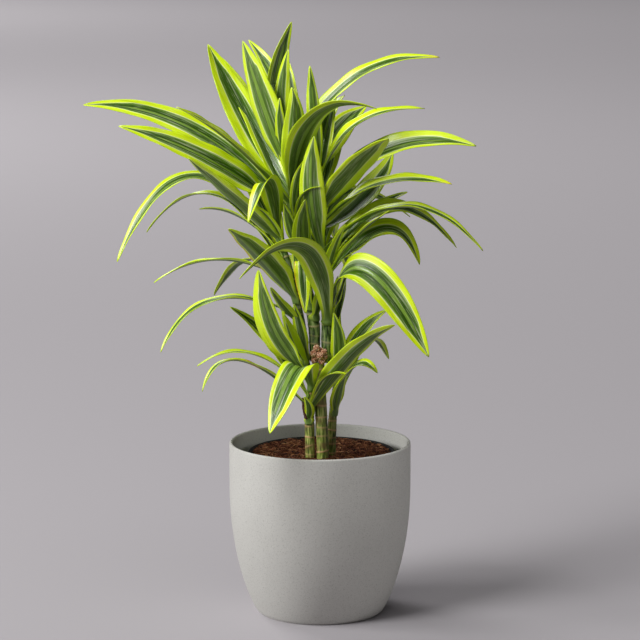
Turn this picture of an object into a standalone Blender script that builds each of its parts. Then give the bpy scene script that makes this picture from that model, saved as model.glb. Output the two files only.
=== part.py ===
"""Potted lemon-lime dracaena: a cover pot, a nursery pot, potting mix, canes, shoots and strap leaves.

Run with: blender --background --python part.py
Metres, +Z up. The origin is the centre of the cover pot's foot, where it stands on the floor.
The front of the plant faces -Y. Points in the stem and leaf lists are (x, y, z) in millimetres.
"""
import math

import bmesh
import bpy
from mathutils import Matrix, Vector

MM = 0.001
FIT_GAP = 0.0004  # the clearance between pieces that touch

# Cover pot
POT_HEIGHT = 0.210
POT_RADIUS = 0.1102
POT_FOOT_RADIUS = 0.0755
POT_SHOULDER = 0.155  # above this height the wall stands straight
POT_FLARE_POWER = 0.8
POT_WALL = 0.0042
POT_FLOOR = 0.006
POT_FOOT_ROUNDING = 0.0015
TURN_STEPS = 48

# Nursery pot, standing on the cover pot's floor
LINER_CENTRE_X = 0.002
LINER_HEIGHT = 0.1915
LINER_RIM_RADIUS = 0.0868
LINER_FOOT_RADIUS = 0.058
LINER_WALL = 0.0011
LINER_LIP = 0.0022
LINER_LIP_DEPTH = 0.009
DRAIN_COUNT = 6
DRAIN_RADIUS = 0.005
DRAIN_RING = 0.036

# Potting mix
SOIL_BELOW_RIM = 0.0035
SOIL_CROWN = 0.0025
PLANTING_DEPTH = 0.070

# Leaves
LEAF_THICKNESS = 0.0008
LEAF_STATIONS = 13
LEAF_SHEATH = 8  # how far down the stem the foot of a blade clasps it, mm
LEAF_SHEATH_HALF_WIDTH = 4.2
LEAF_TIP_HALF_WIDTH = 0.5
LEAF_CHANNEL = 0.3  # how far the edges turn up, radians
SOFT_BEND = 0.667  # 1 is a crease at the blade's bend
FOLD_BEND = 0.85

LINER_FLOOR_Z = POT_FLOOR + FIT_GAP
SOIL_TOP = LINER_FLOOR_Z + LINER_HEIGHT - SOIL_BELOW_RIM

# Stems: points up the stem (x, y, z) and the radius there, in millimetres.
# The canes start in the mix. The shoots grow from the head of the middle cane.
PLANTED = (SOIL_TOP - PLANTING_DEPTH) / MM
STEMS = {
    "left_cane": [
        (-12, -40, PLANTED, 5.5),
        (-12, -40, 196, 5.8),
        (-12.5, -41, 246, 5.5),
        (-11.5, -48, 270, 4.4),
        (-9.5, -53, 290, 3.6),
        (-9, -55, 308, 1.8),
    ],
    "middle_cane": [
        (3.5, -42, PLANTED, 7.2),
        (3.5, -42, 196, 7.3),
        (1.5, -41, 250, 7.2),
        (-2, -40, 314, 7.2),
    ],
    "right_cane": [
        (13.5, -27, PLANTED, 5.4),
        (13.5, -27, 196, 5.6),
        (15.5, -26, 250, 5.0),
        (19.5, -26, 282, 4.2),
        (22, -26, 312, 1.8),
    ],
    "left_shoot": [
        (-11.5, -40, 296, 3.4),
        (-16.5, -39, 314, 4.4),
        (-20.5, -37, 352, 4.5),
        (-25, -36, 376, 4.4),
        (-36, -34, 424, 4.1),
        (-48, -32, 466, 3.4),
        (-52, -33, 486, 1.8),
    ],
    "middle_shoot": [
        (-7, -37, 315, 4.8),
        (-6.5, -36, 340, 6.8),
        (-8, -35, 365, 7.0),
        (-17, -32, 412, 5.8),
        (-28, -28, 473, 4.8),
        (-34, -26, 515, 4.0),
        (-39, -24, 566, 1.8),
    ],
    "right_shoot": [
        (5.5, -41, 315, 5.4),
        (8.5, -41, 332, 7.0),
        (8.5, -41, 376, 7.0),
        (6, -40, 413, 6.0),
        (2.5, -38, 449, 5.2),
        (-2, -35, 510, 4.0),
        (-4, -34, 556, 1.8),
    ],
}
STEM_SPAN = 4  # curve points between two stem points

# Leaves of each stem, from its top down. Each row: the height of its foot on the stem, the side of the stem it
# grows from (degrees anticlockwise from +X, seen from above), the point its bend passes through, its tip, its width,
# its roll (degrees, left edge up), and how sharply it bends.
LEAVES = {
    "middle_shoot": [
        (556, 130, (-56, 12, 628), (-34, 20, 716), 30, 0, SOFT_BEND),
        (553, 0, (39, -20, 650), (141, -20, 676), 26, 30, SOFT_BEND),
        (545, 232, (-65, -42, 610), (-91, -30, 696), 44, 0, SOFT_BEND),
        (531, 278, (-29, -60, 600), (-33, -66, 644), 30, 0, SOFT_BEND),
        (517, 305, (-2, -85, 609), (65, -120, 623), 44, 0, SOFT_BEND),
        (526, 68, (-36, 48, 624), (-48, 75, 684), 27, 0, SOFT_BEND),
        (514, 104, (-86, 22, 592), (-135, 45, 688), 44, 0, SOFT_BEND),
        (504, 225, (-101, -85, 578), (-164, -130, 626), 38, -30, SOFT_BEND),
        (500, 50, (5, 45, 590), (30, 120, 620), 34, 0, SOFT_BEND),
        (496, 180, (-154, -22, 592), (-280, -20, 620), 33, -58, SOFT_BEND),
        (482, 90, (-40, 60, 560), (-45, 145, 560), 34, 0, SOFT_BEND),
        (486, 214, (-128, -66, 558), (-234, -80, 600), 37, -70, SOFT_BEND),
        (455, 100, (-48, 66, 530), (-85, 150, 515), 34, 0, SOFT_BEND),
        (440, 305, (-20, -68, 479), (-17, -84, 515), 28, 0, SOFT_BEND),
        (426, 62, (8, 55, 476), (18, 140, 440), 32, 0, SOFT_BEND),
        (420, 283, (-20, -60, 437), (-17, -62, 377), 20, 0, FOLD_BEND),
    ],
    "left_shoot": [
        (480, 276, (-62, -92, 536), (-83, -122, 492), 27, 0, FOLD_BEND),
        (462, 228, (-105, -76, 514), (-152, -118, 567), 46, -15, SOFT_BEND),
        (446, 130, (-83, 14, 527), (-135, 38, 561), 30, -20, SOFT_BEND),
        (435, 160, (-150, 0, 532), (-240, -50, 437), 26, -10, SOFT_BEND),
        (421, 150, (-127, 18, 508), (-211, 45, 460), 20, 0, SOFT_BEND),
        (390, 75, (-25, 40, 432), (-30, 105, 400), 32, 0, SOFT_BEND),
        (412, 190, (-121, -45, 438), (-196, -60, 413), 20, 0, SOFT_BEND),
        (402, 130, (-80, 20, 430), (-130, 60, 380), 30, 0, SOFT_BEND),
        (392, 238, (-65, -76, 441), (-105, -130, 486), 42, 0, SOFT_BEND),
        (372, 200, (-126, -65, 392), (-187, -90, 335), 21, -10, SOFT_BEND),
    ],
    "right_shoot": [
        (544, 92, (22, 16, 585), (56, 50, 613), 34, 0, SOFT_BEND),
        (526, 330, (41, -50, 597), (123, -38, 617), 30, 35, SOFT_BEND),
        (512, 350, (86, -48, 573), (183, -60, 575), 33, 45, SOFT_BEND),
        (508, 85, (15, 45, 575), (30, 110, 590), 32, 0, SOFT_BEND),
        (496, 299, (46, -88, 552), (77, -145, 591), 42, 0, SOFT_BEND),
        (482, 332, (70, -52, 528), (154, -80, 532), 34, 30, SOFT_BEND),
        (474, 60, (56, 4, 510), (88, 42, 559), 38, 0, SOFT_BEND),
        (466, 105, (-5, 60, 520), (0, 140, 500), 33, 0, SOFT_BEND),
        (456, 258, (-10, -68, 521), (-7, -76, 588), 32, 0, SOFT_BEND),
        (452, 335, (100, -68, 504), (190, -90, 455), 28, 12, SOFT_BEND),
        (446, 108, (36, 64, 502), (112, 118, 470), 30, 0, SOFT_BEND),
        (434, 50, (52, 2, 482), (105, 10, 513), 28, 0, SOFT_BEND),
        (420, 350, (77, -40, 475), (118, -40, 432), 32, 45, SOFT_BEND),
        (412, 90, (20, 50, 450), (35, 120, 400), 32, 0, SOFT_BEND),
        (396, 333, (58, -80, 428), (127, -110, 333), 40, 45, SOFT_BEND),
        (368, 272, (-22, -113, 460), (-92, -152, 431), 34, 0, SOFT_BEND),
    ],
    "right_cane": [
        (308, 140, (14, 6, 362), (22, 12, 411), 28, 0, SOFT_BEND),
        (288, 335, (48, -39, 342), (79, -50, 378), 40, 42, SOFT_BEND),
        (268, 312, (43, -54, 312), (68, -66, 306), 26, 30, SOFT_BEND),
        (266, 60, (50, 20, 330), (85, 65, 300), 28, 0, SOFT_BEND),
    ],
    "left_cane": [
        (303, 198, (-57, -82, 354), (-72, -90, 433), 36, 50, SOFT_BEND),
        (289, 256, (-26, -102, 316), (-58, -150, 250), 40, 0, FOLD_BEND),
        (276, 172, (-61, -34, 338), (-107, -40, 381), 26, -20, SOFT_BEND),
        (262, 290, (38, -88, 332), (87, -112, 371), 31, 0, SOFT_BEND),
        (264, 215, (-96, -80, 323), (-138, -100, 290), 19, 0, SOFT_BEND),
    ],
}


def clear_scene():
    for obj in list(bpy.data.objects):
        bpy.data.objects.remove(obj, do_unlink=True)
    for name in ("potted_dracaena", "cutters"):
        if name not in bpy.data.collections:
            bpy.context.scene.collection.children.link(bpy.data.collections.new(name))


def material(name, colour, roughness):
    made = bpy.data.materials.get(name)
    if made is None:
        made = bpy.data.materials.new(name)
        made.use_nodes = True
        shader = made.node_tree.nodes["Principled BSDF"]
        shader.inputs["Base Color"].default_value = (*colour, 1.0)
        shader.inputs["Roughness"].default_value = roughness
        shader.inputs["Metallic"].default_value = 0.0
    return made


def add_object(name, data, finish=None, collection="potted_dracaena"):
    obj = bpy.data.objects.new(name, data)
    bpy.data.collections[collection].objects.link(obj)
    if finish:
        data.materials.append(finish)
    if collection == "cutters":
        obj.hide_render = True
        obj.display_type = "WIRE"
    return obj


def turned(name, profile, finish, collection="potted_dracaena"):
    """A closed shape turned about Z. The profile starts and ends on the axis and runs down its outer side."""
    mesh = bpy.data.meshes.new(name)
    edges = [(i, i + 1) for i in range(len(profile) - 1)]
    mesh.from_pydata([(r, 0.0, z) for r, z in profile], edges, [])
    obj = add_object(name, mesh, finish, collection)
    screw = obj.modifiers.new("turn", "SCREW")
    screw.steps = TURN_STEPS
    screw.render_steps = TURN_STEPS
    screw.use_merge_vertices = True
    screw.merge_threshold = 0.00001
    screw.use_smooth_shade = True
    return obj


def pot_outer_radius(height):
    if height >= POT_SHOULDER:
        return POT_RADIUS
    below = 1.0 - height / POT_SHOULDER
    swell = (1.0 - below * below) ** POT_FLARE_POWER
    return POT_FOOT_RADIUS + (POT_RADIUS - POT_FOOT_RADIUS) * swell


def arc(centre_r, centre_z, radius, start, end, steps):
    """Profile points round an arc, angles in degrees."""
    points = []
    for i in range(steps + 1):
        angle = math.radians(start + (end - start) * i / steps)
        points.append((centre_r + radius * math.cos(angle), centre_z + radius * math.sin(angle)))
    return points


def make_cover_pot():
    lip = POT_WALL / 2
    levels = 9
    heights = [POT_SHOULDER * (i / levels) ** 1.4 for i in range(1, levels + 1)]
    floor_edge = pot_outer_radius(POT_FLOOR) - POT_WALL - 0.004
    inner = [(pot_outer_radius(z) - POT_WALL, z) for z in heights if z > POT_FLOOR + 0.006]
    outer = [(pot_outer_radius(z), z) for z in reversed(heights)]
    foot = arc(POT_FOOT_RADIUS - POT_FOOT_ROUNDING, POT_FOOT_ROUNDING, POT_FOOT_ROUNDING, -20, -90, 3)
    profile = [(0.0, POT_FLOOR), (floor_edge, POT_FLOOR)]
    profile += inner
    profile += arc(POT_RADIUS - lip, POT_HEIGHT - lip, lip, 180, 0, 6)
    profile += outer + foot + [(0.0, 0.0)]
    return turned("cover_pot", profile, material("stone_grey_plastic", (0.42, 0.43, 0.41), 0.75))


def make_nursery_pot():
    top = LINER_FLOOR_Z + LINER_HEIGHT
    bottom = LINER_FLOOR_Z
    foot = LINER_FOOT_RADIUS
    rim = LINER_RIM_RADIUS
    profile = [
        (0.0, bottom + LINER_WALL),
        (foot - LINER_WALL, bottom + LINER_WALL),
        (rim - LINER_WALL, top),
        (rim + LINER_LIP, top),
        (rim + LINER_LIP, top - LINER_LIP_DEPTH),
        (rim - 0.0006, top - LINER_LIP_DEPTH),
        (foot, bottom),
        (0.0, bottom),
    ]
    pot = turned("nursery_pot", profile, material("black_plastic", (0.02, 0.02, 0.022), 0.5))
    pot.location.x = LINER_CENTRE_X
    for i in range(DRAIN_COUNT):
        angle = 2 * math.pi * i / DRAIN_COUNT
        mesh = bpy.data.meshes.new("drain_cutter")
        shape = bmesh.new()
        bmesh.ops.create_cone(
            shape, cap_ends=True, segments=16, radius1=DRAIN_RADIUS, radius2=DRAIN_RADIUS, depth=0.01
        )
        shape.to_mesh(mesh)
        shape.free()
        drill = add_object(f"drain_cutter_{i}", mesh, None, "cutters")
        drill.location = (
            LINER_CENTRE_X + DRAIN_RING * math.cos(angle),
            DRAIN_RING * math.sin(angle),
            bottom + LINER_WALL / 2,
        )
        cut = pot.modifiers.new(f"drain_{i}", "BOOLEAN")
        cut.operation = "DIFFERENCE"
        cut.object = drill
    return pot


def smooth_path(points, span):
    """A curve through points of any size, with span pieces between two of them."""
    padded = [points[0], *points, points[-1]]
    path = []
    for i in range(1, len(padded) - 2):
        before, start, end, after = (Vector(p) for p in padded[i - 1 : i + 3])
        for step in range(span):
            t = step / span
            linear = (end - before) * t
            square = (2 * before - 5 * start + 4 * end - after) * t * t
            cube = (3 * start - before - 3 * end + after) * t**3
            path.append(0.5 * (2 * start + linear + square + cube))
    path.append(Vector(points[-1]))
    return path


def stem_path(stem):
    """(centre, radius) up a stem, in millimetres."""
    return [(Vector(p[:3]), p[3]) for p in smooth_path(STEMS[stem], STEM_SPAN)]


def stem_at(stem, height):
    """(centre, radius) of a stem at a height."""
    path = stem_path(stem)
    for (low, low_radius), (high, high_radius) in zip(path, path[1:]):
        if low.z <= height <= high.z:
            share = (height - low.z) / (high.z - low.z)
            return low.lerp(high, share), low_radius + (high_radius - low_radius) * share
    return path[-1]


def tube_mesh(name, path, extra_radius):
    """The mesh of a round tube along (centre, radius) pairs, its caps welded on."""
    curve = bpy.data.curves.new(name, "CURVE")
    curve.dimensions = "3D"
    curve.bevel_depth = MM
    curve.bevel_resolution = 3
    curve.use_fill_caps = True
    spline = curve.splines.new("POLY")
    spline.points.add(len(path) - 1)
    for point, (centre, radius) in zip(spline.points, path):
        point.co = (*(centre * MM), 1.0)
        point.radius = radius + extra_radius
    guide = add_object(name + "_guide", curve, None, "cutters")
    graph = bpy.context.evaluated_depsgraph_get()
    mesh = bpy.data.meshes.new_from_object(guide.evaluated_get(graph))
    bpy.data.objects.remove(guide)
    shape = bmesh.new()
    shape.from_mesh(mesh)
    bmesh.ops.remove_doubles(shape, verts=shape.verts, dist=0.00001)
    shape.to_mesh(mesh)
    shape.free()
    mesh.name = name
    return mesh


def make_stems():
    bark = material("green_cane", (0.16, 0.24, 0.05), 0.55)
    for name in STEMS:
        stem = add_object(name, tube_mesh(name, stem_path(name), 0.0), bark)
        stem.data.shade_smooth()


def make_soil():
    """The mix fills the nursery pot and keeps clear of its wall and of the canes planted in it."""
    slope = (LINER_RIM_RADIUS - LINER_FOOT_RADIUS) / LINER_HEIGHT
    wall = LINER_WALL + FIT_GAP + 0.0004
    bottom = LINER_FLOOR_Z + LINER_WALL + FIT_GAP
    top_radius = LINER_FOOT_RADIUS + slope * (SOIL_TOP - LINER_FLOOR_Z) - wall
    profile = [
        (0.0, SOIL_TOP + SOIL_CROWN),
        (top_radius * 0.45, SOIL_TOP + SOIL_CROWN * 0.8),
        (top_radius * 0.8, SOIL_TOP + SOIL_CROWN * 0.3),
        (top_radius, SOIL_TOP),
        (LINER_FOOT_RADIUS - wall, bottom),
        (0.0, bottom),
    ]
    soil = turned("potting_mix", profile, material("coir_mix", (0.12, 0.05, 0.025), 0.95))
    soil.location.x = LINER_CENTRE_X
    clearance = FIT_GAP / MM
    for name in ("left_cane", "middle_cane", "right_cane"):
        path = stem_path(name)
        path[0] = (path[0][0] - Vector((0, 0, clearance)), path[0][1])
        hole = add_object(name + "_hole", tube_mesh(name + "_hole", path, clearance), None, "cutters")
        cut = soil.modifiers.new(name, "BOOLEAN")
        cut.operation = "DIFFERENCE"
        cut.object = hole


def smoothstep(t):
    t = min(max(t, 0.0), 1.0)
    return t * t * (3 - 2 * t)


def blade_half_width(share, width):
    """Half the blade's width: a narrow sheath, widest near the middle, then a long point."""
    belly = max(math.sin(math.pi * share**0.9), 0.0) ** 0.75
    neck = 0.55 + 0.45 * smoothstep((share - 0.05) / 0.3)
    return LEAF_SHEATH_HALF_WIDTH * (1 - share) ** 7 + width / 2 * belly * neck + LEAF_TIP_HALF_WIDTH


def blade_path(stem, row):
    """Points along the blade's middle, from its foot on the stem through its bend to its tip."""
    height, side, bend, tip, width, roll, bend_weight = row
    clearance = (FIT_GAP + LEAF_THICKNESS) / MM
    outward = Vector((math.cos(math.radians(side)), math.sin(math.radians(side)), 0.0))
    centre, radius = stem_at(stem, height)
    start = centre + outward * (radius + clearance)
    bend = Vector(bend)
    tip = Vector(tip)
    elbow = (8 * bend - (4 - 3 * bend_weight) * (start + tip)) / (6 * bend_weight)
    first = start.lerp(elbow, bend_weight)
    second = tip.lerp(elbow, bend_weight)
    foot_centre, foot_radius = stem_at(stem, height - LEAF_SHEATH)
    path = [foot_centre + outward * (foot_radius + clearance)]
    steps = 48
    for i in range(steps + 1):
        t = i / steps
        weights = ((1 - t) ** 3, 3 * t * (1 - t) ** 2, 3 * t * t * (1 - t), t**3)
        point = Vector((0, 0, 0))
        for weight, corner in zip(weights, (start, first, second, tip)):
            point += corner * weight
        path.append(point)
    return path, outward


def even_stations(path, count):
    """(point, share) at equal steps along a path."""
    lengths = [0.0]
    for low, high in zip(path, path[1:]):
        lengths.append(lengths[-1] + (high - low).length)
    stations = []
    piece = 0
    for i in range(count):
        wanted = lengths[-1] * i / (count - 1)
        while piece < len(path) - 2 and lengths[piece + 1] < wanted:
            piece += 1
        inside = (wanted - lengths[piece]) / (lengths[piece + 1] - lengths[piece])
        stations.append((path[piece].lerp(path[piece + 1], inside), i / (count - 1)))
    return stations


def make_leaf(name, stem, row, finish):
    """A strap leaf: a grid shaped onto the blade, then given its thickness."""
    path, outward = blade_path(stem, row)
    stations = even_stations(path, LEAF_STATIONS)
    width, roll = row[4:6]
    across = Vector((-outward.y, outward.x, 0.0))
    frames = []
    for i, (point, share) in enumerate(stations):
        before = stations[max(i - 1, 0)][0]
        after = stations[min(i + 1, LEAF_STATIONS - 1)][0]
        along = (after - before).normalized()
        across = (across - along * across.dot(along)).normalized()
        turned_across = Matrix.Rotation(math.radians(roll) * smoothstep(share / 0.4), 3, along) @ across
        frames.append((point, turned_across, along.cross(turned_across), share))
    shape = bmesh.new()
    bmesh.ops.create_grid(shape, x_segments=LEAF_STATIONS - 1, y_segments=2, size=0.5)
    for vert in shape.verts:
        station = round((vert.co.x + 0.5) * (LEAF_STATIONS - 1))
        side = round(vert.co.y * 2)
        point, turned_across, up, share = frames[station]
        half = blade_half_width(share, width)
        turn_up = LEAF_CHANNEL * smoothstep(share / 0.2)
        offset = turned_across * side * half * math.cos(turn_up) + up * half * math.sin(turn_up) * abs(side)
        vert.co = (point + offset) * MM
    mesh = bpy.data.meshes.new(name)
    shape.to_mesh(mesh)
    shape.free()
    mesh.shade_smooth()
    leaf = add_object(name, mesh, finish)
    skin = leaf.modifiers.new("thickness", "SOLIDIFY")
    skin.thickness = LEAF_THICKNESS
    skin.offset = 0.0


def make_leaves():
    finish = material("variegated_leaf", (0.2, 0.35, 0.03), 0.4)
    for stem, rows in LEAVES.items():
        for number, row in enumerate(rows, 1):
            make_leaf(f"{stem}_leaf_{number}", stem, row, finish)


clear_scene()
make_cover_pot()
make_nursery_pot()
make_stems()
make_soil()
make_leaves()
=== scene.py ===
# Potted striped dracaena: the looks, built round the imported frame.
# Metres, +Z up. The lists of stems and leaves are in millimetres, as in the part's own source.
import math
import random
from functools import partial

import bmesh
import bpy
from mathutils import Matrix, Vector, noise


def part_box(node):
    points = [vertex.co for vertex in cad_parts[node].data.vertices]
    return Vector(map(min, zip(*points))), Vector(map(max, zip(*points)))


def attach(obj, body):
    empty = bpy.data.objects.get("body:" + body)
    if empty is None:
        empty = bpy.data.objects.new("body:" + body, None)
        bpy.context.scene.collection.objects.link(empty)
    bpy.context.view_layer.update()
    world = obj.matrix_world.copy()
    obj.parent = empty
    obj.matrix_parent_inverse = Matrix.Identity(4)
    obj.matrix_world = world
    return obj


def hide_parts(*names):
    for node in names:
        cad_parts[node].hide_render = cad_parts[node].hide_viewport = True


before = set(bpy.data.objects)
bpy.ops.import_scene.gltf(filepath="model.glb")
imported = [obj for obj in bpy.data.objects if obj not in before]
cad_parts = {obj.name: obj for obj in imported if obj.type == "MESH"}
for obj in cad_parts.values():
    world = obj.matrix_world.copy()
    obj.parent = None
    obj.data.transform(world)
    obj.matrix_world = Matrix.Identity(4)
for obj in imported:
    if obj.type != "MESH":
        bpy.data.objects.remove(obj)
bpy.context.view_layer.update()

mm = 0.001
roundTurn = 6.28  # radians, for random angles and waves
print("frame loaded:", len(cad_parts), "nodes")


# small helpers

def linearColour(code):
    channels = []
    for start in (1, 3, 5):
        value = int(code[start:start + 2], 16) / 255
        channels.append(value / 12.92 if value <= 0.04045 else ((value + 0.055) / 1.055) ** 2.4)
    return (*channels, 1.0)


def addNode(tree, kind, settings=None, links=None, out=0):
    # one node with its settings and links; stops are a ramp's places and colours, out the output handed back
    node = tree.nodes.new("ShaderNode" + kind)
    for key, value in (settings or {}).items():
        if key == "stops":
            elements = node.color_ramp.elements
            while len(elements) < len(value):
                elements.new(0.5)
            for element, (place, code) in zip(elements, value):
                element.position = place
                element.color = linearColour(code)
        elif isinstance(key, int) or key in node.inputs:
            node.inputs[key].default_value = linearColour(value) if isinstance(value, str) else value
        else:
            setattr(node, key, value)
    for key, source in (links or {}).items():
        tree.links.new(source, node.inputs[key])
    return node.outputs[out] if node.outputs else node


def newMaterial(name):
    made = bpy.data.materials.new(name)
    made.use_nodes = True
    made.node_tree.nodes.clear()
    return made, partial(addNode, made.node_tree)


def eased(value, start, end):
    # 0 at start, 1 at end, and a soft rise between
    t = min(max((value - start) / (end - start), 0.0), 1.0)
    return t * t * (3 - 2 * t)


def newMesh(name, verts, faces, smooth=True, edges=()):
    mesh = bpy.data.meshes.new(name)
    mesh.from_pydata(verts, edges, faces)
    if smooth:
        mesh.shade_smooth()
    return mesh


def addAttribute(mesh, name, values, kind="FLOAT"):
    field = "value" if kind == "FLOAT" else "vector"
    mesh.attributes.new(name, kind, "POINT").data.foreach_set(field, values)


# which pieces a lamp with flags round it reaches
lampGroups = {group: bpy.data.collections.new(group + "_lamps_reach") for group in ("plant", "pot", "floor")}
plantSlots = ("leaf", "cane", "shoot")


def addPiece(name, mesh, material, slot, replaced=None, place=(0, 0, 0)):
    piece = bpy.data.objects.new(name, mesh)
    piece.location = place
    bpy.context.scene.collection.objects.link(piece)
    lampGroups["plant" if slot in plantSlots else "pot"].objects.link(piece)
    for one in material if isinstance(material, list) else [material]:
        mesh.materials.append(one)
    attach(piece, "root")
    if replaced:
        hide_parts(replaced)
    return piece


def addTurned(name, profile, steps, material, slot, replaced, centreX=0.0):
    # a profile of (radius, height) that starts and ends on the axis
    edges = [(i, i + 1) for i in range(len(profile) - 1)]
    mesh = newMesh(name, [(r, 0, z) for r, z in profile], [], False, edges)
    piece = addPiece(name, mesh, material, slot, replaced, (centreX, 0, 0))
    screw = piece.modifiers.new("turn", "SCREW")
    screw.steps = steps
    screw.render_steps = steps
    screw.use_merge_vertices = True
    screw.merge_threshold = 0.00001
    screw.use_smooth_shade = True


def arc(centreR, centreZ, radius, start, end, steps):
    points = []
    for i in range(steps + 1):
        angle = math.radians(start + (end - start) * i / steps)
        points.append((centreR + radius * math.cos(angle), centreZ + radius * math.sin(angle)))
    return points


# camera, light and floor

studio = {
    "cameraPlace": (0.0, -3.10, 0.8556),
    "cameraTilt": 9.1,  # degrees down
    "lens": 146.3,
    "sensor": 36,
    "viewEnds": 100,
    "room": "#f4f2f6",
    "ambient": 0.09,
    "floorRadius": 40,
    "floorEdges": 96,
    "floorTints": [(0.3, "#a39fa2"), (0.7, "#a6a2a5")],
    "cloudSize": 180 * mm,
    # name, kind, place, aim, size in metres (a sun's in degrees across), power, and what it reaches
    "lamps": [
        # the big soft light on the left
        ("key_light", "SUN", (-2.8, -0.88, 2.48), (0, 0, 0), 34, 2.65, "plant"),
        # low, so that it reaches over the rim to the far inside
        ("pot_key", "AREA", (-2.0, -0.45, 0.85), (0, 0, 0.2), 0.9, 33, "pot"),
        # the key's twin, whose shadow falls further back
        ("floor_key", "SUN", (-2.48, -1.76, 2.0), (0, 0, 0), 27, 2.75, "floor"),
        # three washes keep the left of the floor lighter than the right
        ("near_wash", "AREA", (-2.6, -0.3, 1.8), (-0.8, 0, 0), 1.2, 42, "floor"),
        ("pot_fill", "AREA", (1.8, -0.7, 0.9), (0, 0, 0.2), 0.6, 4.5, "pot"),
        ("top_light", "AREA", (0.2, -0.9, 2.6), (0, 0, 0.3), 1.6, 8, None),
        ("floor_wash", "AREA", (-5.5, 6.0, 5.0), (-2.5, 5.0, 0), 4.0, 430, "floor"),
        ("far_wash", "AREA", (-9.0, 17.0, 7.0), (-3.0, 17.0, 0), 4.0, 900, "floor"),
        ("plant_light", "AREA", (-1.3, -1.5, 1.9), (0, 0, 0.5), 0.9, 41, "plant"),
        # nearly overhead, for the rim
        ("pot_light", "AREA", (-0.3, -0.6, 1.7), (0, 0, 0.2), 0.6, 13, "pot"),
        # behind and above, so that it glances off the waxed leaves
        ("sheen_light", "AREA", (-0.9, 2.6, 1.8), (0, 0, 0.5), 1.8, 20, "plant"),
    ],
}


def addLamp(name, kind, place, aim, size, power, group):
    data = bpy.data.lights.new(name, kind)
    data.energy = power
    if kind == "SUN":
        data.angle = math.radians(size)
    else:
        data.shape = "DISK"
        data.size = size
    lamp = bpy.data.objects.new(name, data)
    lamp.location = place
    lamp.rotation_euler = (Vector(aim) - Vector(place)).to_track_quat("-Z", "Y").to_euler()
    lamp.visible_camera = False
    if group:
        lamp.light_linking.receiver_collection = lampGroups[group]
    bpy.context.scene.collection.objects.link(lamp)


def floorPaint():
    # Studio floor paint: dead matt, rolled on, so only a faint cloudiness shows.
    made, node = newMaterial("matt_floor_paint")
    cloud = node("TexNoise", {"Scale": 1 / studio["cloudSize"], "Detail": 3})
    tint = node("ValToRGB", {"stops": studio["floorTints"]}, {"Fac": cloud})
    shader = node("BsdfPrincipled", {"Roughness": 0.9, "Specular IOR Level": 0.0}, {"Base Color": tint})
    node("OutputMaterial", links={"Surface": shader})
    return made


def makeStudio():
    scene = bpy.context.scene
    scene.view_settings.view_transform = "Standard"
    lens = bpy.data.cameras.new("studio_camera")
    lens.lens = studio["lens"]
    lens.sensor_width = studio["sensor"]
    lens.clip_end = studio["viewEnds"]
    camera = bpy.data.objects.new("studio_camera", lens)
    camera.location = studio["cameraPlace"]
    camera.rotation_euler = (math.radians(90 - studio["cameraTilt"]), 0, 0)
    scene.collection.objects.link(camera)
    scene.camera = camera
    for lamp in studio["lamps"]:
        addLamp(*lamp)
    world = bpy.data.worlds.new("soft_room")
    world.use_nodes = True
    back = world.node_tree.nodes["Background"]
    back.inputs["Color"].default_value = linearColour(studio["room"])
    back.inputs["Strength"].default_value = studio["ambient"]
    scene.world = world
    shape = bmesh.new()
    bmesh.ops.create_circle(shape, cap_ends=True, segments=studio["floorEdges"], radius=studio["floorRadius"])
    mesh = bpy.data.meshes.new("studio_floor")
    shape.to_mesh(mesh)
    shape.free()
    mesh.materials.append(floorPaint())
    floor = bpy.data.objects.new("studio_floor", mesh)
    scene.collection.objects.link(floor)
    lampGroups["floor"].objects.link(floor)
    print("studio ready")


makeStudio()


# cover pot

coverPot = {
    "footRadius": 75.5 * mm,
    "shoulder": 155 * mm,  # below this the wall curves in
    "flarePower": 0.8,
    "wall": 4.2 * mm,
    "floor": 6 * mm,
    "floorCorner": (4 * mm, 6 * mm),  # across and up
    "footRounding": 1.5 * mm,
    "footRing": 9 * mm,  # the pot stands on a ring this wide
    "footRecess": 1.4 * mm,
    "recessSlope": 0.8 * mm,
    "levels": 40,
    "bunching": 1.4,  # brings more levels to the foot, where it curves most
    "lipSteps": 12,
    "footSteps": 6,
    "turns": 160,
    "cloudSize": 60 * mm,
    "stone": [(0.3, "#c4c3bd"), (0.7, "#c8c7c1")],
    "speckSize": 1.5 * mm,  # real specks are 0.3 to 0.8 mm: as coarse as they need to be to show
    # where in the noise they start and are full, how strong, and the colour
    "specks": [(0.55, 0.72, 0.6, "#807d76"), (0.42, 0.28, 0.5, "#dddcd6")],
}


def stonePlastic():
    # Recycled plastic filled with stone dust, from a blasted mould: dead matt, grainy, with fine dark specks.
    made, node = newMaterial("stone_filled_plastic")
    place = node("TexCoord", out="Object")
    cloud = node("TexNoise", {"Scale": 1 / coverPot["cloudSize"], "Detail": 2}, {"Vector": place})
    colour = node("ValToRGB", {"stops": coverPot["stone"]}, {"Fac": cloud})
    specks = node("TexNoise", {"Scale": 1 / coverPot["speckSize"], "Detail": 3, "Roughness": 0.75},
                  {"Vector": place})
    for start, full, most, tint in coverPot["specks"]:
        amount = node("MapRange", {"From Min": start, "From Max": full, "To Max": most}, {"Value": specks})
        colour = node("Mix", {"data_type": "RGBA", 7: tint}, {0: amount, 6: colour}, 2)
    bump = node("Bump", {"Strength": 0.6, "Distance": 0.3 * mm}, {"Height": specks})
    rough = node("MapRange", {"To Min": 0.72, "To Max": 0.9}, {"Value": specks})
    shader = node("BsdfPrincipled", {"IOR": 1.5, "Specular IOR Level": 0.35},
                  {"Base Color": colour, "Roughness": rough, "Normal": bump})
    node("OutputMaterial", links={"Surface": shader})
    return made


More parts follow.
